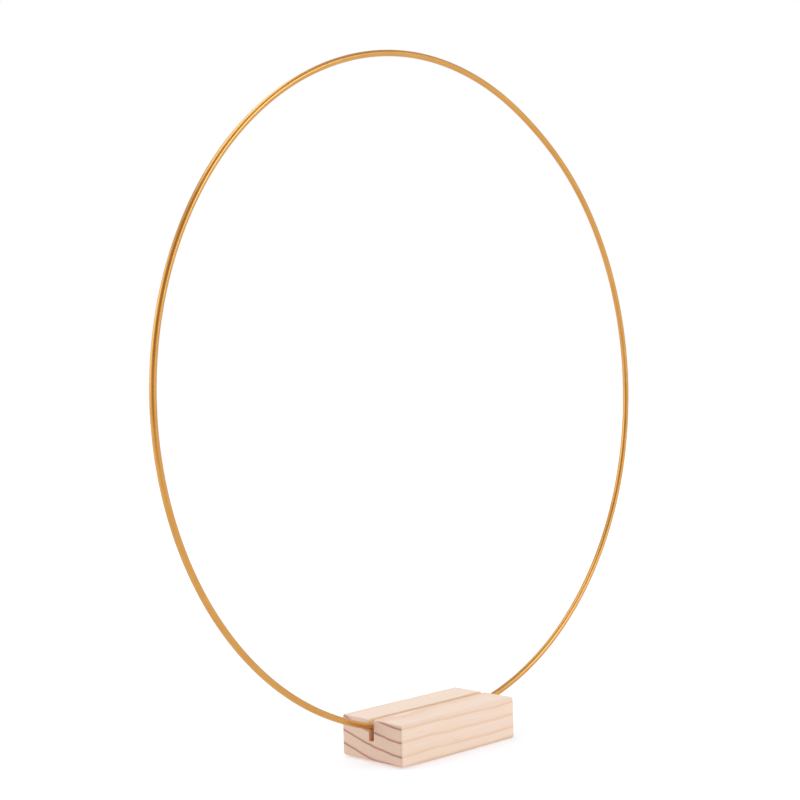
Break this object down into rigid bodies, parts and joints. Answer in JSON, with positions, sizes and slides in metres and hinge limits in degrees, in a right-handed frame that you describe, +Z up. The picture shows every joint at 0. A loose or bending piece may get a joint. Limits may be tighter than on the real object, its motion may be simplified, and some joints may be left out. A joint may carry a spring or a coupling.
{
  "type": "standing wreath frame",
  "caption": "Round gold wire hoop that stands upright in the saw kerf of a small pine block, to be dressed with flowers or greenery as a table centrepiece.",
  "frame": {"origin": "centre of the block's bottom face, on the table", "axes": "+Z up, +X along the kerf and in the hoop's plane, +Y across the kerf"},
  "size_m": [0.3048, 0.037, 0.3144],
  "materials": {
    "gold_wire": "satin",
    "pine": "matte"
  },
  "bodies": {
    "base": {"base_block": "pine"},
    "ring": {"hoop": "gold_wire"}
  },
  "joints": [
    {"name": "hoop_lift", "type": "slide", "parent": "base", "child": "ring", "axis": [0, 0, 1], "range_m": [0, 0.02]}
  ]
}
